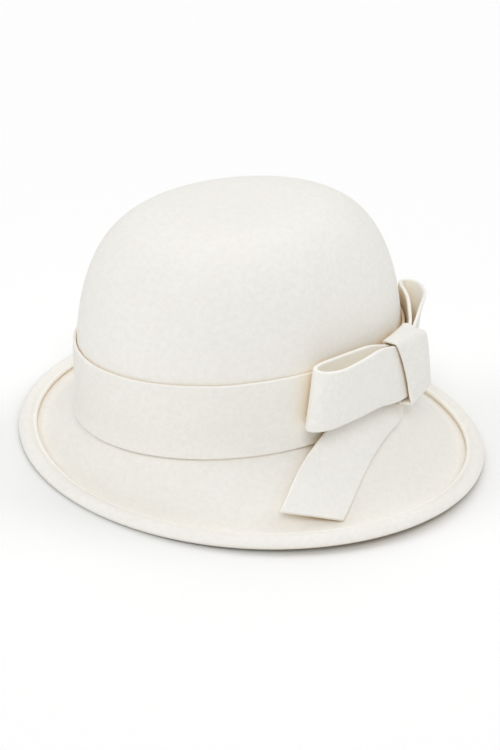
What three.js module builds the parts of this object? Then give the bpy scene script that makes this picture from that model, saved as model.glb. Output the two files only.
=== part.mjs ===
// Felt cloche hat: a blocked felt body with a turned-over hem, a felt band and a side bow.
// Millimetres, +Z up, the front of the hat faces -Y and the wearer's left is +X.
// The origin is on the floor under the middle of the brim.
import * as THREE from 'three';

const { degToRad, clamp, lerp, smoothstep } = THREE.MathUtils;

// Felt thicknesses, and the clearance kept between pieces that touch
const FELT = 2.2;
const STRIP = 2.0;
const GAP = 0.3;

// Crown, measured in its own frame from the foot of the band
const BAND_HALF_WIDTH = 87.3;
const BAND_HALF_LENGTH = 103.0;
const BAND_HEIGHT = 43.5;
const CROWN_HEIGHT = 116.5;
const DOME_FOOT = 25;
const DOME_TOP_POWER = 2.06;
const DOME_SIDE_POWER = 4.6;
const FOOT_FLARE = 1.55;
const FLARE_HEIGHT = 9;

// How the crown sits on the brim
const CROWN_PITCH = degToRad(3.2);
const CROWN_LEAN = degToRad(-3.4);
const CROWN_SEAT = new THREE.Vector3(0, -8.4, 34.55);

// Brim: its edge is an oval that dips at the front and the back, where it rests pressed flat
const RIM_HALF_WIDTH = 143.5;
const RIM_HALF_LENGTH = 137.4;
const HEM_WIDTH = 10.8;
const BRIM_FLARE_POWER = 1.6;
const SIDE_LIFT = 3.7;
const PRESSED = 0.6;

// Hem's section, from the slit under the turned-over layer, round its cut edge and over the roll to
// the brim's underside: distance in from the outermost edge, and height over the underside
const HEM_SECTION = [
  { inset: 4.4, up: 2.2 },
  { inset: 2.4, up: 3.3 },
  { inset: 4.4, up: 4.2 },
  { inset: HEM_WIDTH, up: 3.4 },
  { inset: HEM_WIDTH, up: 5.7 },
  { inset: 6.0, up: 6.3 },
  { inset: 3.0, up: 6.0 },
  { inset: 0.9, up: 4.9 },
  { inset: 0.0, up: 3.2 },
  { inset: 0.7, up: 1.3 },
  { inset: 2.4, up: 0.2 },
  { inset: 5.0, up: 0.0 },
];

// Bow: strips of felt round a knot that sits on the wearer's left, behind the ear
const STRIP_WIDTH = 36;
const LOOP_ROUND = { front: -43.4, rear: 44.5 };
const LOOP_RISE = { front: 9.2, rear: 7 };
const LOOP_RISE_END = 0.52;
const FOLD_LEAN = 0.07;

// Knot: its front face slants, narrows downwards and stands further off the band at its rear edge,
// where its top slopes down to a lower shoulder and its bottom is drawn up
const KNOT_ANGLE = 121.8;
const KNOT_HEIGHT = 22.4;
const KNOT_RISE = 1.6;
const KNOT_WIDTH = 24.2;
const KNOT_TAPER = 0.096;
const KNOT_SLANT = 0.304;
const KNOT_BACK = 1.7;
const KNOT_FRONT = 15.1;
const KNOT_TILT = 2.4;
const KNOT_CORNER = 3.5;
const KNOT_EASE = 3.8;
const KNOT_SHOULDER = 3;
const KNOT_DRAWN_UP = 3.2;

// Both loops from above: how much of the way round to the fold, millimetres off the band at half height,
// and how much further off the top edge stands than the bottom edge
const LOOP_PLAN = [
  { reach: 0.01, front: { off: 5.4, spread: -0.6 }, rear: { off: 5.3, spread: 0.4 } },
  { reach: 0.22, front: { off: 5.5, spread: 0 }, rear: { off: 4.9, spread: -0.9 } },
  { reach: 0.42, front: { off: 3.5, spread: -1 }, rear: { off: 2.3, spread: 0 } },
  { reach: 0.62, front: { off: 2.3, spread: -1.2 }, rear: { off: 1.7, spread: 0.2 } },
  { reach: 0.8, front: { off: 2.2, spread: -1.1 }, rear: { off: 1.7, spread: 0.2 } },
  { reach: 0.93, front: { off: 3.2, spread: -0.6 }, rear: { off: 2.1, spread: 0.9 } },
  { reach: 0.985, front: { off: 5.4, spread: -0.2 }, rear: { off: 3.1, spread: 1.7 } },
  { reach: 1, front: { off: 8.4, spread: 0.8 }, rear: { off: 4.6, spread: 3.5 } },
  { reach: 0.985, front: { off: 11.6, spread: 1.8 }, rear: { off: 6.2, spread: 5.4 } },
  { reach: 0.93, front: { off: 14.4, spread: 2.8 }, rear: { off: 7.9, spread: 7.8 } },
  { reach: 0.85, front: { off: 15.2, spread: 3.4 }, rear: { off: 8.7, spread: 9.2 } },
  { reach: 0.65, front: { off: 12.8, spread: 2.6 }, rear: { off: 8.4, spread: 8.4 } },
  { reach: 0.44, front: { off: 10.8, spread: 0.8 }, rear: { off: 7, spread: 4.1 } },
  { reach: 0.22, front: { off: 8.9, spread: 0 }, rear: { off: 7.5, spread: -0.5 } },
  { reach: 0.01, front: { off: 8.6, spread: 0 }, rear: { off: 8, spread: 0 } },
];

// Both edges of the tail's underside, from its end under the knot to its cut: degrees round from the
// front, height over the band's foot and distance off the band
const TAIL_EDGES = [
  { left: { round: 107, up: 10, off: 1.1 }, right: { round: 124, up: -4.3, off: 3.6 } },
  { left: { round: 103, up: 10.2, off: 1.4 }, right: { round: 116.8, up: -7.5, off: 6.4 } },
  { left: { round: 96, up: 10.7, off: 1.7 }, right: { round: 107.4, up: -9.2, off: 8.1 } },
  { left: { round: 86.9, up: 9.4, off: 2.3 }, right: { round: 96.9, up: -15.1, off: 13.3 } },
  { left: { round: 79.7, up: 1.4, off: 4.6 }, right: { round: 91.8, up: -19.8, off: 17.8 } },
  { left: { round: 73.6, up: -7.7, off: 9.2 }, right: { round: 87.4, up: -24.7, off: 23.1 } },
  { left: { round: 68.6, up: -15.2, off: 19 }, right: { round: 83.5, up: -29.3, off: 28.9 } },
  { left: { round: 64.9, up: -20.6, off: 29.8 }, right: { round: 80.4, up: -32.5, off: 34.2 } },
];

// Counts of facets
const AROUND = 72;
const DOME_ROWS = 13;
const LOOP_STEPS = 42;
const KNOT_CORNER_STEPS = 3;
const TAIL_STEPS = 18;

const WALL_INSET = STRIP + GAP;
const UP = new THREE.Vector3(0, 0, 1);

const felt = { metalness: 0, roughness: 0.95 };
const bodyFelt = new THREE.MeshStandardMaterial({ color: 0xebe7df, ...felt });
const bandFelt = new THREE.MeshStandardMaterial({ color: 0xe9e4da, ...felt });
const bowFelt = new THREE.MeshStandardMaterial({ color: 0xede8df, ...felt });

// Frame of the crown, which the band and the bow share
const crown = new THREE.Group();
crown.rotation.set(CROWN_PITCH, CROWN_LEAN, 0, 'YXZ');
crown.position.copy(CROWN_SEAT);
crown.updateMatrix();

const angles = Array.from({ length: AROUND }, (_, i) => (2 * Math.PI * i) / AROUND);

function oval(angle, halfWidth, halfLength, z) {
  return new THREE.Vector3(halfWidth * Math.sin(angle), -halfLength * Math.cos(angle), z);
}

// Point on the band's outer face, moved outwards by a distance, in the crown's frame
function onBand(angle, z, outwards) {
  const flare = FOOT_FLARE * clamp(1 - z / FLARE_HEIGHT, 0, 1) ** 2;
  const grow = outwards + flare;
  return oval(angle, BAND_HALF_WIDTH + grow, BAND_HALF_LENGTH + grow, z);
}

function toHat(point) {
  return point.applyMatrix4(crown.matrix);
}

// Point of the hem, a distance in from the outermost edge and over the underside
function onHem(angle, inset, up) {
  const level = SIDE_LIFT * Math.sin(angle) ** 2 - PRESSED;
  return oval(angle, RIM_HALF_WIDTH - inset, RIM_HALF_LENGTH - inset, level + up);
}

// Point on the brim's upper face, from the crown's foot at 0 to the hem's cut edge at 1
function onBrim(angle, along) {
  const foot = toHat(onBand(angle, 0, -WALL_INSET));
  const hem = onHem(angle, HEM_WIDTH, FELT);
  const point = foot.clone().lerp(hem, along);
  point.z = lerp(foot.z, hem.z, 1 - (1 - along) ** BRIM_FLARE_POWER);
  return point;
}

// Geometry with its faces turned outwards
function closedGeometry(points, faces) {
  let volume = 0;
  for (let k = 0; k < faces.length; k += 3) {
    const [a, b, c] = faces.slice(k, k + 3).map((index) => points[index]);
    volume += a.dot(b.clone().cross(c));
  }
  const geometry = new THREE.BufferGeometry().setFromPoints(points);
  geometry.setIndex(volume > 0 ? faces : faces.reverse());
  geometry.computeVertexNormals();
  return geometry;
}

// Rings of points joined one to the next
function joinRings(rings, isLoop) {
  const count = rings[0].length;
  const at = (row, i) => (row % rings.length) * count + (i % count);
  const spans = isLoop ? rings.length : rings.length - 1;
  const faces = [];
  for (let row = 0; row < spans; row++) {
    for (let i = 0; i < count; i++) {
      faces.push(at(row, i), at(row + 1, i), at(row + 1, i + 1));
      faces.push(at(row, i), at(row + 1, i + 1), at(row, i + 1));
    }
  }
  return faces;
}

// Shell between two single points, such as the top of a dome and the point under it
function shell(startPoint, rings, endPoint) {
  const points = [...rings.flat(), startPoint, endPoint];
  const faces = joinRings(rings, false);
  const count = rings[0].length;
  const start = points.length - 2;
  const lastRing = (rings.length - 1) * count;
  for (let i = 0; i < count; i++) {
    const next = (i + 1) % count;
    faces.push(start, i, next);
    faces.push(start + 1, lastRing + next, lastRing + i);
  }
  return closedGeometry(points, faces);
}

// Strip of four-cornered sections, closed in a loop or ended with flat cuts
function strip(sections, isLoop) {
  const faces = joinRings(sections, isLoop);
  if (!isLoop) {
    const end = 4 * (sections.length - 1);
    faces.push(0, 1, 2, 0, 2, 3);
    faces.push(end, end + 2, end + 1, end, end + 3, end + 2);
  }
  return closedGeometry(sections.flat(), faces);
}

// Outward normals of rings that run down from a top point
function ringNormals(topPoint, rings) {
  return rings.map((ring, row) => ring.map((_, i) => {
    const above = row === 0 ? topPoint : rings[row - 1][i];
    const below = rings[Math.min(row + 1, rings.length - 1)][i];
    const before = ring[(i + AROUND - 1) % AROUND];
    const after = ring[(i + 1) % AROUND];
    return below.clone().sub(above).cross(after.clone().sub(before)).normalize();
  }));
}

function offsetRings(rings, normals, distance) {
  return rings.map((ring, row) => ring.map((p, i) => p.clone().addScaledVector(normals[row][i], distance)));
}

// Felt body: from the crown's top down to the rim, rolled over into the hem, and back up inside
function feltBody() {
  const domeCurve = new THREE.SplineCurve(Array.from({ length: 241 }, (_, i) => {
    const turn = (Math.PI / 2) * (1 - i / 240);
    const side = Math.cos(turn) ** (2 / DOME_SIDE_POWER);
    const rise = Math.sin(turn) ** (2 / DOME_TOP_POWER);
    return new THREE.Vector2(side * BAND_HALF_LENGTH, lerp(DOME_FOOT, CROWN_HEIGHT, rise));
  }));
  const domeRows = domeCurve.getSpacedPoints(DOME_ROWS).slice(1);
  const domeRing = ({ x, y }) => angles.map((angle) => {
    const side = x / BAND_HALF_LENGTH;
    const halfWidth = side * (BAND_HALF_WIDTH - WALL_INSET);
    return toHat(oval(angle, halfWidth, side * (BAND_HALF_LENGTH - WALL_INSET), y));
  });
  const wallHeights = [FLARE_HEIGHT, FLARE_HEIGHT / 2, 0];
  const brimSteps = [0.06, 0.16, 0.3, 0.46, 0.64, 0.82, 1];
  const upper = [
    ...domeRows.map(domeRing),
    ...wallHeights.map((z) => angles.map((angle) => toHat(onBand(angle, z, -WALL_INSET)))),
    ...brimSteps.map((step) => angles.map((angle) => onBrim(angle, step))),
  ];
  const top = toHat(new THREE.Vector3(0, 0, CROWN_HEIGHT));
  const innerTop = toHat(new THREE.Vector3(0, 0, CROWN_HEIGHT - FELT));
  const normals = ringNormals(top, upper);
  const hem = HEM_SECTION.map(({ inset, up }) => angles.map((angle) => onHem(angle, inset, up)));
  const inside = offsetRings(upper, normals, -FELT).reverse();
  const rings = [...upper, ...hem, ...inside];
  rings.flat().forEach((point) => point.setZ(Math.max(point.z, 0)));
  return shell(top, rings, innerTop);
}

// Band: a strip round the foot of the crown that follows its flare
function band() {
  const heights = [GAP, FLARE_HEIGHT / 2, FLARE_HEIGHT, BAND_HEIGHT];
  const sections = angles.map((angle) => [
    ...heights.map((z) => onBand(angle, z, -STRIP)),
    ...heights.map((z) => onBand(angle, z, 0)).reverse(),
  ]);
  return closedGeometry(sections.flat(), joinRings(sections, true));
}

// Loop: a strip on edge that runs out along the band, round its leaning fold and back to the knot
function bowLoop(side) {
  const edgeCurve = (high) => new THREE.CatmullRomCurve3(LOOP_PLAN.map((row) => {
    const rise = LOOP_RISE[side] * smoothstep(row.reach, 0, LOOP_RISE_END);
    const lean = 1 - FOLD_LEAN * high * smoothstep(row.reach, 0.3, 1);
    const angle = degToRad(KNOT_ANGLE + LOOP_ROUND[side] * row.reach * lean);
    const off = row[side].off + row[side].spread * high;
    const z = KNOT_HEIGHT + rise + STRIP_WIDTH * high;
    return oval(angle, BAND_HALF_WIDTH + off, BAND_HALF_LENGTH + off, z);
  }));
  const edges = { bottom: edgeCurve(-0.5), top: edgeCurve(0.5) };
  const sections = Array.from({ length: LOOP_STEPS + 1 }, (_, i) => {
    const corner = (curve, thick) => {
      const outwards = curve.getTangent(i / LOOP_STEPS).setZ(0).normalize().cross(UP);
      return curve.getPoint(i / LOOP_STEPS).addScaledVector(outwards, (thick * STRIP) / 2);
    };
    return [corner(edges.bottom, 1), corner(edges.top, 1), corner(edges.top, -1), corner(edges.bottom, -1)];
  });
  return strip(sections, false);
}

// Knot: a strip wrapped round the waist of the loops, slanted so that its top leans to the front
function bowKnot() {
  const halfHeight = STRIP_WIDTH / 2 + KNOT_EASE + STRIP;
  const middle = degToRad(KNOT_ANGLE);
  const radius = Math.hypot(BAND_HALF_WIDTH * Math.cos(middle), BAND_HALF_LENGTH * Math.sin(middle));
  const knotPoint = (side, up, off, isFront) => {
    const across = (side * (KNOT_WIDTH + KNOT_TAPER * up)) / 2 - KNOT_SLANT * up;
    const rearwards = (1 + side) / 2;
    const shoulder = isFront ? KNOT_SHOULDER * rearwards * smoothstep(up / halfHeight, 0.4, 1) : 0;
    const drawnUp = KNOT_DRAWN_UP * rearwards * smoothstep(-up / halfHeight, 0.4, 1);
    return onBand(middle + across / radius, KNOT_HEIGHT + KNOT_RISE + up - shoulder + drawnUp, off);
  };
  const sections = [];
  for (let quarter = 0; quarter < 4; quarter++) {
    const isFront = quarter === 0 || quarter === 3;
    const centreUp = (quarter < 2 ? 1 : -1) * (halfHeight - KNOT_CORNER);
    for (let step = 0; step <= KNOT_CORNER_STEPS; step++) {
      const turn = (Math.PI / 2) * (quarter + step / KNOT_CORNER_STEPS);
      const corner = (side, reach) => {
        const front = KNOT_FRONT + side * KNOT_TILT - KNOT_CORNER;
        const centreOff = isFront ? front : KNOT_BACK + KNOT_CORNER;
        const up = centreUp + reach * Math.sin(turn);
        return knotPoint(side, up, centreOff + reach * Math.cos(turn), isFront);
      };
      const inner = KNOT_CORNER - STRIP;
      sections.push([corner(-1, KNOT_CORNER), corner(1, KNOT_CORNER), corner(1, inner), corner(-1, inner)]);
    }
  }
  return strip(sections, true);
}

// Point of the tail's table, in the crown's frame
function besideBand({ round, up, off }) {
  return oval(degToRad(round), BAND_HALF_WIDTH + off, BAND_HALF_LENGTH + off, up);
}

// Tail: a flat strip between two smooth edges, from under the knot down over the brim
function bowTail() {
  const leftEdge = new THREE.CatmullRomCurve3(TAIL_EDGES.map(({ left }) => besideBand(left)));
  const rightEdge = new THREE.CatmullRomCurve3(TAIL_EDGES.map(({ right }) => besideBand(right)));
  const sections = Array.from({ length: TAIL_STEPS + 1 }, (_, i) => {
    const left = leftEdge.getPoint(i / TAIL_STEPS);
    const right = rightEdge.getPoint(i / TAIL_STEPS);
    const along = leftEdge.getTangent(i / TAIL_STEPS).add(rightEdge.getTangent(i / TAIL_STEPS));
    const thick = along.cross(right.clone().sub(left)).setLength(STRIP);
    return [left, right, right.clone().add(thick), left.clone().add(thick)];
  });
  return strip(sections, false);
}

function piece(name, geometry, material) {
  const mesh = new THREE.Mesh(geometry, material);
  mesh.name = name;
  return mesh;
}

crown.add(piece('band', band(), bandFelt));
crown.add(piece('bow_loop_front', bowLoop('front'), bowFelt));
crown.add(piece('bow_loop_rear', bowLoop('rear'), bowFelt));
crown.add(piece('bow_knot', bowKnot(), bowFelt));
crown.add(piece('bow_tail', bowTail(), bowFelt));

const hat = new THREE.Group();
hat.add(piece('felt_body', feltBody(), bodyFelt));
hat.add(crown);

export default hat;
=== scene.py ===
import math

import bpy
import numpy as np
from mathutils import Matrix, Vector, noise


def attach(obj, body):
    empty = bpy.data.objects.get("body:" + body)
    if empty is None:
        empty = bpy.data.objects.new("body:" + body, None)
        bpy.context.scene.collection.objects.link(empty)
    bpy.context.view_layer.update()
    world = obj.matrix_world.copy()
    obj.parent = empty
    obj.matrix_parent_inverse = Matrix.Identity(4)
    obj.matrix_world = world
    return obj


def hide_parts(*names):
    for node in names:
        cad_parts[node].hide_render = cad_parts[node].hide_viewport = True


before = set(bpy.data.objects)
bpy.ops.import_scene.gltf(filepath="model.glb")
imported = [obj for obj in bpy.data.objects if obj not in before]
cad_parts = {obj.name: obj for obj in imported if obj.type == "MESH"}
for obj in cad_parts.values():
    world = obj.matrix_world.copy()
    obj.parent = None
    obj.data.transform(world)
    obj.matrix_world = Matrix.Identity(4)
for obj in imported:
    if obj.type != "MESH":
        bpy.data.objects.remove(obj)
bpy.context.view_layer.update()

# Sizes are in millimetres here, and the meshes are made in metres
MM = 0.001

# Felt thicknesses, the clearance between the crown and its band, the rounding of a strip's long
# edges as a share of its thickness, the part of that rounding over which the painted highlight of the
# cut edge comes in, and the rounding of a strip's ends
FELT = 2.2
STRIP = 2.0
GAP = 0.3
STRIP_ROUNDING = 0.49
EDGE_HIGHLIGHT_SPAN = (0.1, 0.9)
END_ROUNDING = 0.5

# Lumps of pressed fibre in the felt's surface
GRAIN_HEIGHT = 0.07
GRAIN_SIZE = 3.0

# Crown and band, measured in the crown's own frame from the foot of the band. The band's top edge
# is pulled down behind the knot: fully near the pinch angle, and not at all past the pinch's end.
BAND_HALF_WIDTH = 87.3
BAND_HALF_LENGTH = 103.0
BAND_HEIGHT = 43.5
CROWN_HEIGHT = 116.5
DOME_FOOT = 25.0
DOME_TOP_POWER = 2.06
DOME_SIDE_POWER = 4.6
FOOT_FLARE = 1.55
FLARE_HEIGHT = 9.0
BAND_WAVE = 0.35
BAND_WAVES_AROUND = 3.1
BAND_DRAWN_IN = 0.12
BAND_FOOT_EASE = 0.45
BAND_PINCH = 7.0
PINCH_ANGLE = 132
PINCH_FULL = 18
PINCH_END = 45
CROWN_PITCH = math.radians(3.2)
CROWN_LEAN = math.radians(-3.4)
CROWN_SEAT = np.array([0.0, -8.4, 34.55])

# Brim and its turned-over hem. The rows on each side of the brim's bend are smoothed in passes.
RIM_HALF_WIDTH = 143.5
RIM_HALF_LENGTH = 137.4
HEM_WIDTH = 10.8
BRIM_FLARE_POWER = 1.6
SIDE_LIFT = 3.7
PRESSED = 0.6
BEND_ROWS = 3
BEND_PASSES = 4

# Section of the hem from the slit under its cut edge, over the lip, the stitched groove and the
# roll, to the brim's underside: distance in from the rim, height over the underside, share of the
# painted highlight on the cut edge
HEM_SECTION = [
    (10.0, 2.20, 0.0),
    (9.3, 2.60, 0.0),
    (10.0, 3.00, 0.0),
    (10.5, 3.25, 0.3),
    (10.76, 3.70, 0.8),
    (10.8, 4.40, 1.0),
    (10.75, 5.10, 1.0),
    (10.5, 5.65, 1.0),
    (10.05, 5.95, 0.8),
    (9.5, 5.90, 0.4),
    (9.0, 5.66, 0.1),
    (8.5, 5.72, 0.0),
    (7.7, 6.25, 0.0),
    (6.5, 6.85, 0.0),
    (5.1, 7.10, 0.0),
    (3.8, 6.85, 0.0),
    (2.6, 6.20, 0.0),
    (1.6, 5.35, 0.0),
    (0.75, 4.40, 0.0),
    (0.2, 3.60, 0.0),
    (0.0, 2.95, 0.0),
    (0.15, 2.20, 0.0),
    (0.55, 1.50, 0.0),
    (1.15, 0.85, 0.0),
    (2.0, 0.35, 0.0),
    (3.2, 0.08, 0.0),
    (5.0, 0.00, 0.0),
    (7.4, 0.00, 0.0),
    (9.6, 0.00, 0.0),
]

# Bow: strips of felt round a knot that sits on the wearer's left, behind the ear. Each loop runs
# some degrees round the band to its fold. It rises and thickens on its way there, and its fold leans.
STRIP_WIDTH = 36.0
LOOP_ROUND = {"front": -43.4, "rear": 44.5}
LOOP_RISE = {"front": 9.2, "rear": 7.0}
LOOP_LOFT = {"front": 0.3, "rear": 0.15}
LOOP_RISE_END = 0.52
LOFT_START = 0.28
LOFT_END = 0.5
FOLD_LEAN = 0.07
LEAN_START = 0.3

# Knot: its front face slants, narrows downwards, has a slanted crease and stands further off the
# band at its rear edge. There its top slopes down to a lower shoulder and its bottom is drawn up,
# both past a share of its half height.
KNOT_ANGLE = 121.8
KNOT_HEIGHT = 22.4
KNOT_RISE = 1.6
KNOT_WIDTH = 24.2
KNOT_TAPER = 0.096
KNOT_SLANT = 0.304
KNOT_BACK = 1.7
KNOT_FRONT = 15.1
KNOT_TILT = 2.4
KNOT_EASE = 3.8
KNOT_SHOULDER = 3.0
KNOT_DRAWN_UP = 3.0
KNOT_SQUARENESS = 0.21
KNOT_FULLNESS = 0.7
KNOT_SWELL_START = 0.6
KNOT_CREASE = 0.6
KNOT_CREASE_PLACE = 0.55
KNOT_CREASE_SLANT = 0.25
KNOT_CREASE_WIDTH = 0.2
KNOT_WAIST = 1.8
SHOULDER_DEPTH = (0.3, 0.6)
KNOT_ENDS_FROM = 0.4

# Both loops from above: share of the way round to the fold, then distance off the band at half
# height, how much further off the top edge stands than the bottom edge, and four times how far both
# edges curl outwards
LOOP_PLAN = [
    {"reach": 0.01, "front": (5.4, -0.6, 0.0), "rear": (5.5, 0.3, 0.0)},
    {"reach": 0.22, "front": (5.5, 0.0, 0.0), "rear": (4.9, -0.9, 0.0)},
    {"reach": 0.42, "front": (3.5, -1.0, 0.0), "rear": (2.2, 0.0, 0.0)},
    {"reach": 0.62, "front": (2.3, -1.2, 0.0), "rear": (1.5, 0.2, 0.0)},
    {"reach": 0.80, "front": (2.2, -1.1, 0.0), "rear": (1.5, 0.2, 0.0)},
    {"reach": 0.93, "front": (3.2, -0.6, 0.0), "rear": (1.9, 0.9, 0.0)},
    {"reach": 0.985, "front": (5.4, -0.2, 0.0), "rear": (2.7, 1.7, 1.4)},
    {"reach": 1.00, "front": (8.4, 0.8, 0.0), "rear": (3.7, 3.5, 3.4)},
    {"reach": 0.985, "front": (11.6, 1.8, 0.0), "rear": (4.8, 5.4, 5.6)},
    {"reach": 0.93, "front": (14.4, 2.8, 0.0), "rear": (5.7, 8.0, 9.0)},
    {"reach": 0.85, "front": (15.2, 3.4, 0.0), "rear": (6.1, 9.4, 10.4)},
    {"reach": 0.65, "front": (12.8, 2.6, 0.0), "rear": (6.3, 8.4, 8.2)},
    {"reach": 0.44, "front": (10.8, 0.8, 0.0), "rear": (6.2, 4.1, 3.0)},
    {"reach": 0.22, "front": (8.9, 0.0, 0.0), "rear": (7.5, -0.5, 0.0)},
    {"reach": 0.01, "front": (8.6, 0.0, 0.0), "rear": (8.0, 0.0, 0.0)},
]

# Edges of the tail's underside: degrees round from the front, height over the band's foot, and
# distance off the band's oval
TAIL_EDGES = [
    {"left": (107, 10, 1.1), "right": (124, -4.3, 3.6)},
    {"left": (103, 10.2, 1.4), "right": (116.8, -7.5, 6.4)},
    {"left": (96, 10.7, 1.7), "right": (107.4, -9.2, 8.1)},
    {"left": (86.9, 9.4, 2.3), "right": (96.9, -15.1, 13.3)},
    {"left": (79.7, 1.4, 4.6), "right": (91.8, -19.8, 17.8)},
    {"left": (73.6, -7.7, 9.2), "right": (87.4, -24.7, 23.1)},
    {"left": (68.6, -15.2, 19), "right": (83.5, -29.3, 28.9)},
    {"left": (64.9, -20.6, 29.8), "right": (80.4, -32.5, 34.2)},
]

# Felts: their colour, the shade of their grain, the pale colour of their fibres (partly their own
# tone, partly a painted glint) and of the painted highlight on their cut edges, and the colour of the
# painted light and shade where they are folded in on themselves: painted bounce light on the body,
# painted warm shade on the band, warmer and paler painted light on the bow. A fold is looked for
# within its reach, in metres, and the deepest painted shade comes in between two shares of open air.
BODY_FELT = {
    "name": "body_felt",
    "colour": (0.938, 0.921, 0.874, 1),
    "shade": (0.87, 0.848, 0.79, 1),
    "cut": (0.962, 0.948, 0.91, 1),
    "fold": (1.0, 0.965, 0.895, 1),
    "fold_reach": 0.025,
    "deepest_between": (0.1, 0.42),
}
BAND_FELT = {
    "name": "band_felt",
    "colour": (0.928, 0.908, 0.857, 1),
    "shade": (0.86, 0.836, 0.775, 1),
    "cut": (0.962, 0.948, 0.91, 1),
    "fold": (0.87, 0.73, 0.52, 1),
    "fold_reach": 0.014,
    "deepest_between": (0.02, 0.14),
}
BOW_FELT = {
    "name": "bow_felt",
    "colour": (0.94, 0.925, 0.883, 1),
    "shade": (0.872, 0.852, 0.80, 1),
    "cut": (0.97, 0.958, 0.924, 1),
    "fold": (1.0, 0.945, 0.82, 1),
    "fold_reach": 0.022,
    "deepest_between": (0.02, 0.14),
}
# Painted brown shade in the deepest folds and cracks
DEEPEST_PAINTED_SHADE = (0.80, 0.65, 0.45, 1)
FELT_SHINE = {
    "Specular IOR Level": 0.2,
    "Sheen Weight": 0.08,
    "Sheen Roughness": 0.5,
    "Sheen Tint": (1.0, 0.98, 0.95, 1.0),
}

# Noise in the felts: clouds, mottling, flecks and three layers of fibres, each stretched one way
CLOUDS = {"scale": 24, "detail": 3}
MOTTLING = {"scale": 330, "detail": 2}
FLECKS = {"scale": 900, "detail": 3}
FIBRES = [
    {"scale": 700, "detail": 2, "stretch": (1, 6, 6), "turn": (0.4, 0.7, 0.3)},
    {"scale": 700, "detail": 2, "stretch": (6, 1, 6), "turn": (0.9, 0.2, 1.1)},
    {"scale": 700, "detail": 2, "stretch": (6, 6, 1), "turn": (0.2, 0.5, 0.6)},
]
NOISE_ROUGHNESS = 0.6

# Ranges from a noise, a cut edge's painted highlight, a share of open air or a height in metres to
# what it does
CLOUD_SHADE = (0.35, 0.7, 0, 0.3)
MOTTLED_SHADE = (0.35, 0.7, 0, 0.7)
FLECK_SHADE = (0.5, 0.75, 0, 0.75)
FIBRE_PALENESS_AND_GLINT = (0.55, 0.8, 0, 0.6)
EDGE_HIGHLIGHT_RANGE = (0, 1, 0, 0.75)
FOLD_SHADE = (0, 0.85, 1, 0)
FOLDS_OFF_FLOOR = (0.0015, 0.004, 0, 1)
FLECK_ROUGHNESS = (0.3, 0.7, 0.86, 0.98)
OPEN_AIR_SAMPLES = 8

# Nap: the flecks' share in it, and the strength and height in metres of its bumps
NAP_FLECKS = 0.8
NAP_STRENGTH = 0.32
NAP_HEIGHT = 0.0004

# Floor in metres, a hair under the felt that rests on it, and with a soft painted shadow close to the
# rim
FLOOR_SIZE = 5.0
FLOOR_LEVEL = -0.0001
FLOOR_CORNERS = [(-1, -1), (1, -1), (1, 1), (-1, 1)]
FLOOR_COLOUR = (0.99, 0.99, 0.99, 1)
FLOOR_PAINTED_SHADOW = (0.72, 0.72, 0.71, 1)
FLOOR_REACH = 0.07
FLOOR_OPEN = (0.3, 1, 0, 1)
FLOOR_ROUGHNESS = 0.9
FLOOR_SPECULAR = 0.1

# Soft white studio: an even surround, and wide lights with the place that each shines from in
# metres, its width in degrees and its strength
SURROUND_COLOUR = (1.0, 1.0, 1.0, 1)
SURROUND_STRENGTH = 0.4
LIGHTS = [
    {"name": "overhead", "place": (-0.75, 0.6, 1.75), "width": 50, "strength": 0.56},
    {"name": "front_box", "place": (1.0, -0.81, 1.5), "width": 34, "strength": 1.05},
    {"name": "left_box", "place": (-0.85, -1.38, 1.2), "width": 30, "strength": 0.5},
    {"name": "right_box", "place": (0.5, 1.5, 1.4), "width": 30, "strength": 0.44},
]

# Sockets of a mix node that mixes colours: its factor, both colours and its result
MIX_INPUTS = (0, 6, 7)
MIX_RESULT = 2

# Resolution
AROUND = 288
DOME_ROWS = 64
WALL_ROWS = 14
BRIM_ROWS = 36
STRIP_FACE_STEPS = 14
CORNER_STEPS = 5
LOOP_STEPS = 150
KNOT_STEPS = 88
TAIL_STEPS = 90

# Points along a curve before its steps are made even, and the step for the slope across the knot
DOME_SAMPLES = 1500
LOOP_SAMPLES = 4 * LOOP_STEPS
KNOT_SAMPLES = 1200
KNOT_SIDE_STEP = 0.01

# Camera: its angle to the hat, and the photo's framing
CAMERA_AZIMUTH = math.radians(51.1)
CAMERA_ELEVATION = math.radians(25.7)
CAMERA_ROLL = math.radians(3.3)
CAMERA_DISTANCE = 1200.0
CAMERA_ASIDE = -2.5
CAMERA_AIM_HEIGHT = 39.37
PIXELS_PER_MM = 1.68
PHOTO_HEIGHT = 750
SENSOR = 36.0

# The crown's wall inside the band, the angles of its rows, and its turn: pitched, then leaned
WALL_INSET = STRIP + GAP
ANGLES = np.linspace(0, 2 * math.pi, AROUND, endpoint=False)
CROWN_TURN = np.array(Matrix.Rotation(CROWN_LEAN, 3, "Y") @ Matrix.Rotation(CROWN_PITCH, 3, "X"))


def to_hat(points):
    """Points of the crown's frame in the hat's frame."""
    return points @ CROWN_TURN.T + CROWN_SEAT


def oval(angle, half_width, half_length, z):
    """Points of a level oval, with angles from the front round by the wearer's left."""
    x = half_width * np.sin(angle)
    y = -half_length * np.cos(angle)
    return np.stack(np.broadcast_arrays(x, y, z), axis=-1)


def on_band(angle, z, off):
    """Point off the band's outer face, in the crown's frame."""
    grow = off + FOOT_FLARE * np.clip(1 - z / FLARE_HEIGHT, 0, 1) ** 2
    return oval(angle, BAND_HALF_WIDTH + grow, BAND_HALF_LENGTH + grow, z)


def smoothstep(x, low, high):
    """Soft step from 0 at low to 1 at high."""
    t = np.clip((np.asarray(x, float) - low) / (high - low), 0, 1)
    return t * t * (3 - 2 * t)


def unit(vectors):
    """Vectors of the same directions with a length of one."""
    return vectors / np.linalg.norm(vectors, axis=-1, keepdims=True)


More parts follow.
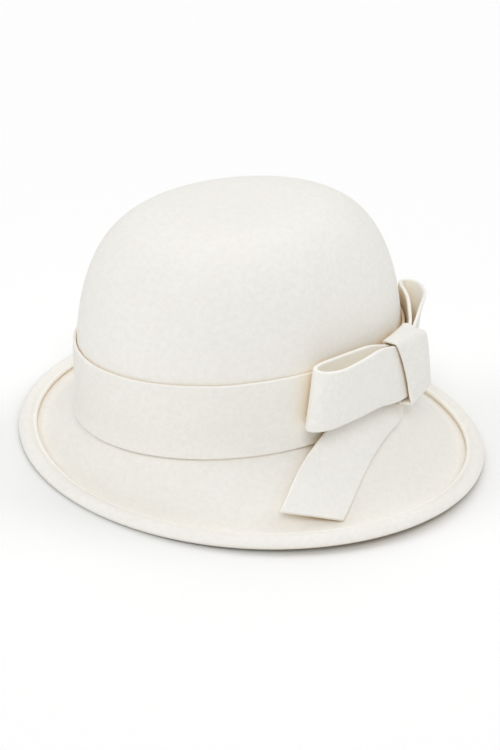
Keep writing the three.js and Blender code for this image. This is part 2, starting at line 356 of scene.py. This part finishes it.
def smooth_curve(points, steps):
    """Points of a smooth curve through the given ones, which may be a stack of curves."""
    points = np.asarray(points, float)
    chords = np.linalg.norm(np.diff(points, axis=0), axis=-1)
    knots = np.concatenate([[0], np.cumsum(np.sqrt(chords.reshape(len(chords), -1).mean(axis=1)))])
    slopes = np.gradient(points, knots, axis=0)
    at = np.linspace(0, knots[-1], steps + 1)
    row = np.clip(np.searchsorted(knots, at, side="right") - 1, 0, len(knots) - 2)
    span = knots[row + 1] - knots[row]
    shape = (-1,) + (1,) * (points.ndim - 1)
    t = ((at - knots[row]) / span).reshape(shape)
    span = span.reshape(shape)
    start, end = points[row], points[row + 1]
    leave, arrive = slopes[row] * span, slopes[row + 1] * span
    return (
        (2 * t**3 - 3 * t**2 + 1) * start
        + (t**3 - 2 * t**2 + t) * leave
        + (3 * t**2 - 2 * t**3) * end
        + (t**3 - t**2) * arrive
    )


def even_steps(points, steps):
    """The curves again, with even steps along their mean length."""
    gaps = np.linalg.norm(np.diff(points, axis=0), axis=-1)
    along = np.concatenate([[0], np.cumsum(gaps.reshape(len(gaps), -1).mean(axis=1))])
    at = np.linspace(0, along[-1], steps + 1)
    flat = points.reshape(len(points), -1)
    made = np.stack([np.interp(at, along, column) for column in flat.T], axis=-1)
    return made.reshape((steps + 1,) + points.shape[1:])


def strip_section(width):
    """Rounded section of a felt strip: places across and through it, and the share of a painted
    highlight on its cut edges.
    """
    radius = STRIP_ROUNDING * STRIP
    across = width / 2 - radius
    through = STRIP / 2 - radius
    quarter = np.linspace(0, math.pi / 2, CORNER_STEPS + 1)
    rows = []
    for corner in range(4):
        turn = quarter + corner * math.pi / 2
        centre_across = across * (1 if corner in (0, 3) else -1)
        centre_through = through * (1 if corner in (0, 1) else -1)
        arc_across = centre_across + radius * np.cos(turn)
        arc_through = centre_through + radius * np.sin(turn)
        rows.append(np.stack([arc_across, arc_through], axis=-1))
        if corner in (0, 2):
            run = np.linspace(0, 1, STRIP_FACE_STEPS + 1)[1:-1]
            face_through = np.full_like(run, arc_through[-1])
            rows.append(np.stack([centre_across * (1 - 2 * run), face_through], axis=-1))
    section = np.concatenate(rows)
    cut_from, cut_to = (across + share * radius for share in EDGE_HIGHLIGHT_SPAN)
    edge = smoothstep(np.abs(section[:, 0]), cut_from, cut_to)
    return section, edge


def ring_faces(ring_count, ring_size, closed):
    """Quads between rings of points."""
    rings = np.arange(ring_count if closed else ring_count - 1)[:, None]
    places = np.arange(ring_size)[None, :]
    after_ring = (rings + 1) % ring_count
    after_place = (places + 1) % ring_size
    quads = np.stack(
        [
            rings * ring_size + places,
            after_ring * ring_size + places,
            after_ring * ring_size + after_place,
            rings * ring_size + after_place,
        ],
        axis=-1,
    )
    return quads.reshape(-1, 4).tolist()


def outward(points, faces):
    """Faces turned so that the closed mesh has a positive volume."""
    volume = 0.0
    for face in faces:
        a = points[face[0]]
        for b, c in zip(face[1:-1], face[2:]):
            volume += np.dot(a, np.cross(points[b], points[c]))
    return faces if volume > 0 else [face[::-1] for face in faces]


def felt_grain(points, normals):
    """Points shifted along their normals into small lumps of pressed fibre."""
    lumps = [noise.noise(Vector(p / GRAIN_SIZE)) for p in points]
    return points + normals * (GRAIN_HEIGHT * np.array(lumps))[:, None]


def vertex_normals(points, faces):
    """Normals at the points, from the faces round each of them."""
    normals = np.zeros_like(points)
    for face in faces:
        a, b, c = points[face[0]], points[face[1]], points[face[2]]
        normals[face] += np.cross(b - a, c - a)
    return unit(normals)


def make_piece(name, points, faces, edge, material, node):
    """Object for a closed felt piece, with the painted highlight of its cut edges as an attribute for
    its material.
    """
    faces = outward(points, faces)
    points = felt_grain(points, vertex_normals(points, faces))
    points[:, 2] = np.maximum(points[:, 2], 0)
    mesh = bpy.data.meshes.new(name)
    mesh.from_pydata((points * MM).tolist(), [], faces)
    mesh.shade_smooth()
    cut_edge = mesh.attributes.new("cut_edge", "FLOAT", "POINT")
    cut_edge.data.foreach_set("value", edge.astype(np.float32))
    mesh.materials.append(material)
    piece = bpy.data.objects.new(name, mesh)
    bpy.context.collection.objects.link(piece)
    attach(piece, "root")
    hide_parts(node)
    return piece


def rim_level(angle):
    """Height of the hem's underside, lowest at the front and the back."""
    return SIDE_LIFT * np.sin(angle) ** 2 - PRESSED


def on_hem(angle, inset, height):
    """Point of the hem, by its distance in from the rim and its height over the underside."""
    return oval(angle, RIM_HALF_WIDTH - inset, RIM_HALF_LENGTH - inset, rim_level(angle) + height)


def dome_inset(z):
    """How far the dome has come in from the straight wall, at its sides, at a height."""
    rise = np.clip((z - DOME_FOOT) / (CROWN_HEIGHT - DOME_FOOT), 0, 1)
    side = (1 - rise**DOME_TOP_POWER) ** (1 / DOME_SIDE_POWER)
    return BAND_HALF_WIDTH * (1 - side)


def dome_rows():
    """Outer face of the dome from just under its top down to the straight wall."""
    turn = np.linspace(math.pi / 2, 0, DOME_SAMPLES)
    side = np.cos(turn) ** (2 / DOME_SIDE_POWER)
    rise = np.clip(np.sin(turn), 0, 1) ** (2 / DOME_TOP_POWER)
    height = DOME_FOOT + (CROWN_HEIGHT - DOME_FOOT) * rise
    curve = even_steps(np.stack([side * BAND_HALF_LENGTH, height], axis=-1), DOME_ROWS)[1:]
    rows = []
    for reach, z in curve:
        share = reach / BAND_HALF_LENGTH
        half_width = share * (BAND_HALF_WIDTH - WALL_INSET)
        half_length = share * (BAND_HALF_LENGTH - WALL_INSET)
        rows.append(to_hat(oval(ANGLES, half_width, half_length, z)))
    return rows


def upper_rows():
    """Outer face of the felt body from the dome to where the brim goes under the hem."""
    rows = dome_rows()
    for z in np.linspace(DOME_FOOT, 0, WALL_ROWS + 1)[1:]:
        rows.append(to_hat(on_band(ANGLES, z, -WALL_INSET)))
    foot_row = len(rows) - 1
    foot = rows[-1]
    hem = on_hem(ANGLES, HEM_WIDTH, FELT)
    for along in np.linspace(0, 1, BRIM_ROWS + 1)[1:]:
        row = foot + (hem - foot) * along
        row[:, 2] = foot[:, 2] + (hem - foot)[:, 2] * (1 - (1 - along) ** BRIM_FLARE_POWER)
        rows.append(row)
    rows = np.array(rows)
    first, last = foot_row - BEND_ROWS, foot_row + BEND_ROWS
    for _ in range(BEND_PASSES):
        above, bend, below = rows[first - 1:last], rows[first:last + 1], rows[first + 1:last + 2]
        rows[first:last + 1] = (above + 2 * bend + below) / 4
    return rows


def make_felt_body(material):
    """Crown and brim blocked from one piece of felt, with the brim's edge turned up into a hem."""
    upper = upper_rows()
    down = np.gradient(upper, axis=0)
    around = (np.roll(upper, -1, axis=1) - np.roll(upper, 1, axis=1)) / 2
    inside = (upper - FELT * unit(np.cross(down, around)))[::-1]
    hem = np.array([on_hem(ANGLES, inset, height) for inset, height, _ in HEM_SECTION])
    rings = np.concatenate([upper, hem, inside])
    rings[..., 2] = np.maximum(rings[..., 2], 0)
    top = to_hat(np.array([[0, 0, CROWN_HEIGHT], [0, 0, CROWN_HEIGHT - FELT]]))
    points = np.concatenate([rings.reshape(-1, 3), top])
    faces = ring_faces(len(rings), AROUND, False)
    last_ring = (len(rings) - 1) * AROUND
    for i in range(AROUND):
        following = (i + 1) % AROUND
        faces.append([len(points) - 2, i, following])
        faces.append([len(points) - 1, last_ring + following, last_ring + i])
    edge = np.zeros(len(points))
    # Painted highlight on the hem's cut edge, by the section's shares
    for row, (_, _, shown) in enumerate(HEM_SECTION):
        start = (len(upper) + row) * AROUND
        edge[start:start + AROUND] = shown
    make_piece("hat_body", points, faces, edge, material, "felt_body")


def make_band(material):
    """Strip round the foot of the crown, drawn in at its top and pulled down behind the knot."""
    section, edge = strip_section(BAND_HEIGHT - GAP)
    middle = (BAND_HEIGHT + GAP) / 2
    upper = smoothstep(section[:, 0], 0, BAND_HEIGHT / 2)
    foot = smoothstep(-section[:, 0], BAND_HEIGHT / 4, BAND_HEIGHT / 2)
    rings = []
    for angle in ANGLES:
        place = Vector((math.sin(angle), math.cos(angle), 0)) * BAND_WAVES_AROUND
        wave = BAND_WAVE * noise.noise(place)
        from_pinch = abs(math.degrees(angle) - PINCH_ANGLE)
        pinch = BAND_PINCH * (1 - smoothstep(from_pinch, PINCH_FULL, PINCH_END))
        z = middle + section[:, 0] + (wave - pinch) * upper
        drawn_in = dome_inset(z) + BAND_DRAWN_IN * upper - BAND_FOOT_EASE * foot
        rings.append(to_hat(on_band(angle, z, section[:, 1] - STRIP / 2 - drawn_in)))
    points = np.concatenate(rings)
    faces = ring_faces(len(rings), len(section), True)
    shown = np.tile(edge, len(rings))
    piece = make_piece("hat_band", points, faces, shown, material, "band")


def capped(rings, edge):
    """Points, faces and painted edge highlight of an open strip whose two ends are cut and slightly
    rounded.
    """
    ring_size = rings.shape[1]
    middles = rings.mean(axis=1, keepdims=True)
    out_start = unit(rings[0].mean(axis=0) - rings[1].mean(axis=0))
    out_end = unit(rings[-1].mean(axis=0) - rings[-2].mean(axis=0))
    caps = []
    for ring, middle, out in ((rings[0], middles[0], out_start), (rings[-1], middles[-1], out_end)):
        from_middle = np.linalg.norm(ring - middle, axis=-1, keepdims=True)
        steps = []
        for turn in np.linspace(0, math.pi / 2, CORNER_STEPS + 1)[1:]:
            inwards = END_ROUNDING * (1 - math.cos(turn))
            shrink = 1 - inwards / np.maximum(from_middle, END_ROUNDING)
            steps.append(middle + (ring - middle) * shrink + out * END_ROUNDING * math.sin(turn))
        caps.append(np.array(steps))
    body = np.concatenate([caps[0][::-1], rings, caps[1]])
    faces = ring_faces(len(body), ring_size, False)
    last_ring = (len(body) - 1) * ring_size
    faces.append(list(range(ring_size)))
    faces.append(list(range(last_ring, last_ring + ring_size))[::-1])
    shown = np.tile(edge, (len(body), 1))
    # The rounded ends get the full painted highlight
    shown[:CORNER_STEPS] = 1
    shown[-CORNER_STEPS:] = 1
    return body.reshape(-1, 3), faces, shown.reshape(-1)


def make_loop(name, side, material, node):
    """Strip on edge that runs out from the knot, round its leaning fold and back to the knot."""
    section, edge = strip_section(STRIP_WIDTH)
    reach = np.array([row["reach"] for row in LOOP_PLAN])[:, None]
    middle, spread, curl = np.array([row[side] for row in LOOP_PLAN]).T[:, :, None]
    share_up = section[None, :, 0] / STRIP_WIDTH
    rise = LOOP_RISE[side] * smoothstep(reach, 0, LOOP_RISE_END)
    lean = 1 - FOLD_LEAN * share_up * smoothstep(reach, LEAN_START, 1)
    angle = np.radians(KNOT_ANGLE + LOOP_ROUND[side] * reach * lean)
    grow = middle + spread * share_up + curl * share_up**2
    z = KNOT_HEIGHT + rise + section[None, :, 0]
    table = oval(angle, BAND_HALF_WIDTH + grow, BAND_HALF_LENGTH + grow, z)
    path = even_steps(smooth_curve(table, LOOP_SAMPLES), LOOP_STEPS)
    along = np.gradient(path, axis=0)
    outwards = unit(np.cross(along, np.array([0.0, 0.0, 1.0])))
    place = np.linspace(-1, 1, LOOP_STEPS + 1)[:, None, None]
    loft = 1 + LOOP_LOFT[side] * smoothstep(1 - np.abs(place), LOFT_START, LOFT_END)
    rings = to_hat(path + outwards * section[None, :, 1:2] * loft)
    points, faces, shown = capped(rings, edge)
    piece = make_piece(name, points, faces, shown, material, node)


def knot_path():
    """Middle line of the knot's strip: height and share from back to front, and its half height."""
    half_height = (STRIP_WIDTH + STRIP) / 2 + KNOT_EASE
    turn = np.linspace(0, 2 * math.pi, KNOT_SAMPLES)
    up = half_height * np.sign(np.sin(turn)) * np.abs(np.sin(turn)) ** KNOT_SQUARENESS
    front = (1 + np.sign(np.cos(turn)) * np.abs(np.cos(turn)) ** KNOT_SQUARENESS) / 2
    depth = KNOT_FRONT - KNOT_BACK - STRIP
    closed = np.stack([up, depth * front, np.zeros_like(up)], axis=-1)
    path = even_steps(closed, KNOT_STEPS)[:-1, :2]
    return path / np.array([1.0, depth]), half_height


def knot_face(path, half_height, side):
    """Points of the knot's middle surface, with side from -1 at its front edge to 1 at its rear."""
    middle = math.radians(KNOT_ANGLE)
    radius = math.hypot(BAND_HALF_WIDTH * math.cos(middle), BAND_HALF_LENGTH * math.sin(middle))
    up, front = path[:, :1], path[:, 1:]
    height = up / half_height
    swell = (1 - height**2) * smoothstep(front, KNOT_SWELL_START, 1)
    back_off = KNOT_BACK + STRIP / 2
    front_off = KNOT_FRONT - STRIP / 2 + KNOT_TILT * side
    fullness = KNOT_FULLNESS * (1 - side**2)
    from_crease = side - KNOT_CREASE_PLACE + KNOT_CREASE_SLANT * height
    crease = KNOT_CREASE * np.exp(-(from_crease / KNOT_CREASE_WIDTH) ** 2)
    off = back_off + (front_off - back_off) * front + (fullness - crease) * swell
    across = side * (KNOT_WIDTH + KNOT_TAPER * up) / 2 - KNOT_SLANT * up
    across = across + KNOT_WAIST * np.clip(-side, 0, 1) * swell
    rearwards = (1 + side) / 2
    shoulder = KNOT_SHOULDER * rearwards * smoothstep(front, *SHOULDER_DEPTH)
    shoulder = shoulder * smoothstep(height, KNOT_ENDS_FROM, 1)
    drawn_up = KNOT_DRAWN_UP * rearwards * smoothstep(-height, KNOT_ENDS_FROM, 1)
    z = KNOT_HEIGHT + KNOT_RISE + up - shoulder + drawn_up
    return on_band(middle + across / radius, z, off)


def make_knot(material):
    """Strip wrapped round the waist of the loops, wider at its top, slanted to the front."""
    section, edge = strip_section(KNOT_WIDTH)
    path, half_height = knot_path()
    side = section[None, :, 0] / (KNOT_WIDTH / 2)
    middle = knot_face(path, half_height, side)
    further = knot_face(path, half_height, side + KNOT_SIDE_STEP)
    nearer = knot_face(path, half_height, side - KNOT_SIDE_STEP)
    across = further - nearer
    along = np.roll(middle, -1, axis=0) - np.roll(middle, 1, axis=0)
    outwards = unit(np.cross(across, along))
    if np.sum(outwards * (middle - middle.mean(axis=(0, 1)))) < 0:
        outwards = -outwards
    rings = to_hat(middle + outwards * section[None, :, 1:2])
    faces = ring_faces(len(rings), len(section), True)
    points = rings.reshape(-1, 3)
    shown = np.tile(edge, len(rings))
    piece = make_piece("bow_knot_wrap", points, faces, shown, material, "bow_knot")


def make_tail(material):
    """Flat strip from under the knot down over the brim, cut at a slant at its end."""
    def edge_line(side):
        degrees, up, off = np.array([row[side] for row in TAIL_EDGES], float).T
        line = oval(np.radians(degrees), BAND_HALF_WIDTH + off, BAND_HALF_LENGTH + off, up)
        return smooth_curve(line, TAIL_STEPS)

    left, right = edge_line("left"), edge_line("right")
    section, edge = strip_section(STRIP_WIDTH)
    along = unit(np.gradient(left, axis=0) + np.gradient(right, axis=0))
    across = right - left
    upwards = unit(np.cross(along, across))
    share = section[None, :, 0:1] / STRIP_WIDTH
    middle = (left + right) / 2
    rings = middle[:, None, :] + across[:, None, :] * share
    rings = rings + upwards[:, None, :] * (section[None, :, 1:2] + STRIP / 2)
    points, faces, shown = capped(to_hat(rings), edge)
    piece = make_piece("bow_tail_strip", points, faces, shown, material, "bow_tail")


class Nodes:
    """Short way to add and link the nodes of one material."""

    def __init__(self, name):
        self.material = bpy.data.materials.new(name)
        self.material.use_nodes = True
        self.tree = self.material.node_tree
        self.shader = self.tree.nodes["Principled BSDF"]

    def add(self, kind, values=None, **settings):
        """New node with its settings, and with a value or a link on each named socket."""
        node = self.tree.nodes.new(kind)
        for key, value in settings.items():
            setattr(node, key, value)
        for socket, value in (values or {}).items():
            if isinstance(value, bpy.types.NodeSocket):
                self.tree.links.new(value, node.inputs[socket])
            else:
                node.inputs[socket].default_value = value
        return node

    def mix(self, factor, low, high):
        """Colour between two colours."""
        values = dict(zip(MIX_INPUTS, (factor, low, high)))
        return self.add("ShaderNodeMix", values, data_type="RGBA").outputs[MIX_RESULT]

    def math(self, operation, first, second):
        """Result of an operation on two values."""
        return self.add("ShaderNodeMath", {0: first, 1: second}, operation=operation).outputs[0]

    def remap(self, value, low, high, to_low, to_high):
        """Value moved from one range to another, and held within it."""
        values = {
            "Value": value,
            "From Min": low,
            "From Max": high,
            "To Min": to_low,
            "To Max": to_high,
        }
        return self.add("ShaderNodeMapRange", values).outputs[0]

    def open_air(self, reach):
        """Share of open air round a place, within a reach in metres."""
        node = self.add("ShaderNodeAmbientOcclusion", {"Distance": reach}, samples=OPEN_AIR_SAMPLES)
        return node.outputs["AO"]


def felt_material(felt):
    """Pressed wool: crossing fibres partly painted with a glint, faint clouds, a soft nap, a painted
    highlight on cut edges, and painted light and shade in the folds.
    """
    nodes = Nodes(felt["name"])
    place = nodes.add("ShaderNodeTexCoord").outputs["Object"]

    def grain(scale, detail, stretch=(1, 1, 1), turn=(0, 0, 0)):
        values = {"Vector": place, "Rotation": turn, "Scale": stretch}
        turned = nodes.add("ShaderNodeMapping", values).outputs[0]
        values = {"Vector": turned, "Scale": scale, "Detail": detail, "Roughness": NOISE_ROUGHNESS}
        return nodes.add("ShaderNodeTexNoise", values).outputs["Fac"]

    clouds, mottling, flecks = grain(**CLOUDS), grain(**MOTTLING), grain(**FLECKS)
    one, two, three = (grain(**layer) for layer in FIBRES)
    fibres = nodes.math("MAXIMUM", nodes.math("MAXIMUM", one, two), three)
    colour = nodes.mix(nodes.remap(clouds, *CLOUD_SHADE), felt["colour"], felt["shade"])
    colour = nodes.mix(nodes.remap(mottling, *MOTTLED_SHADE), colour, felt["shade"])
    colour = nodes.mix(nodes.remap(flecks, *FLECK_SHADE), colour, felt["shade"])
    # Pale fibres: partly the felt's own paler fibres, partly a painted glint
    colour = nodes.mix(nodes.remap(fibres, *FIBRE_PALENESS_AND_GLINT), colour, felt["cut"])
    # Painted highlight on the cut edges, where the rounded edges catch the light
    edge = nodes.add("ShaderNodeAttribute", attribute_name="cut_edge").outputs["Fac"]
    colour = nodes.mix(nodes.remap(edge, *EDGE_HIGHLIGHT_RANGE), colour, felt["cut"])

    # Painted light and shade in the folds, by the share of open air round each place: paler painted
    # bounce light on the body, painted warm shade on the band, warmer painted light on the bow, and a
    # painted brown shade in the deepest folds; none on the felt lowest over the floor
    open_air = nodes.open_air(felt["fold_reach"])
    height = nodes.add("ShaderNodeSeparateXYZ", {0: place}).outputs["Z"]
    off_floor = nodes.remap(height, *FOLDS_OFF_FLOOR)
    folded = nodes.math("MULTIPLY", nodes.remap(open_air, *FOLD_SHADE), off_floor)
    colour = nodes.mix(folded, colour, felt["fold"])
    deepest_shade_share = nodes.remap(open_air, *felt["deepest_between"], 1, 0)
    colour = nodes.mix(nodes.math("MULTIPLY", deepest_shade_share, off_floor), colour, DEEPEST_PAINTED_SHADE)

    nap = nodes.math("ADD", fibres, nodes.math("MULTIPLY", flecks, NAP_FLECKS))
    values = {"Strength": NAP_STRENGTH, "Distance": NAP_HEIGHT, "Height": nap}
    bump = nodes.add("ShaderNodeBump", values).outputs[0]
    roughness = nodes.remap(flecks, *FLECK_ROUGHNESS)
    nodes.tree.links.new(colour, nodes.shader.inputs["Base Color"])
    nodes.tree.links.new(roughness, nodes.shader.inputs["Roughness"])
    nodes.tree.links.new(bump, nodes.shader.inputs["Normal"])
    for socket, value in FELT_SHINE.items():
        nodes.shader.inputs[socket].default_value = value
    return nodes.material


def make_stage():
    """Plain pale floor, with a painted shadow close to the rim."""
    mesh = bpy.data.meshes.new("floor")
    corners = [(x * FLOOR_SIZE, y * FLOOR_SIZE, FLOOR_LEVEL) for x, y in FLOOR_CORNERS]
    mesh.from_pydata(corners, [], [(0, 1, 2, 3)])
    nodes = Nodes("floor_painted_shadow")
    # Painted shadow: the floor darker where the hat closes in the air round it, close to the rim
    unshadowed = nodes.remap(nodes.open_air(FLOOR_REACH), *FLOOR_OPEN)
    colour = nodes.mix(unshadowed, FLOOR_PAINTED_SHADOW, FLOOR_COLOUR)
    nodes.tree.links.new(colour, nodes.shader.inputs["Base Color"])
    nodes.shader.inputs["Roughness"].default_value = FLOOR_ROUGHNESS
    nodes.shader.inputs["Specular IOR Level"].default_value = FLOOR_SPECULAR
    mesh.materials.append(nodes.material)
    floor = bpy.data.objects.new("floor", mesh)
    bpy.context.collection.objects.link(floor)


def make_light(name, place, width, strength):
    """Far light that shines from the side of the given place, as wide as a soft box there."""
    data = bpy.data.lights.new(name, "SUN")
    data.angle = math.radians(width)
    data.energy = strength
    light = bpy.data.objects.new(name, data)
    light.location = place
    light.rotation_euler = (-Vector(place)).to_track_quat("-Z", "Y").to_euler()
    bpy.context.collection.objects.link(light)


def make_lights():
    """Even surround and wide lights of a soft white studio."""
    world = bpy.data.worlds.new("studio")
    world.use_nodes = True
    background = world.node_tree.nodes["Background"]
    background.inputs["Color"].default_value = SURROUND_COLOUR
    background.inputs["Strength"].default_value = SURROUND_STRENGTH
    bpy.context.scene.world = world
    for light in LIGHTS:
        make_light(**light)
    bpy.context.scene.view_settings.view_transform = "Standard"


def make_camera():
    """Camera at the photo's angle to the hat, rolled as the photo is."""
    level, upwards = math.cos(CAMERA_ELEVATION), math.sin(CAMERA_ELEVATION)
    round_x, round_y = math.sin(CAMERA_AZIMUTH), -math.cos(CAMERA_AZIMUTH)
    back = Vector((round_x * level, round_y * level, upwards))
    right = Vector((-round_y, round_x, 0))
    up = back.cross(right)
    aim = Vector((0, 0, CAMERA_AIM_HEIGHT)) + right * CAMERA_ASIDE
    data = bpy.data.cameras.new("camera")
    data.sensor_width = SENSOR
    data.lens = PIXELS_PER_MM * CAMERA_DISTANCE * SENSOR / PHOTO_HEIGHT
    camera = bpy.data.objects.new("camera", data)
    turn = Matrix((right, up, back)).transposed() @ Matrix.Rotation(CAMERA_ROLL, 3, "Z")
    camera.matrix_world = Matrix.Translation((aim + back * CAMERA_DISTANCE) * MM) @ turn.to_4x4()
    bpy.context.collection.objects.link(camera)
    bpy.context.scene.camera = camera


make_camera()
body_felt = felt_material(BODY_FELT)
band_felt = felt_material(BAND_FELT)
bow_felt = felt_material(BOW_FELT)
make_felt_body(body_felt)
make_band(band_felt)
make_loop("bow_front", "front", bow_felt, "bow_loop_front")
make_loop("bow_rear", "rear", bow_felt, "bow_loop_rear")
make_knot(bow_felt)
make_tail(bow_felt)
make_stage()
make_lights()
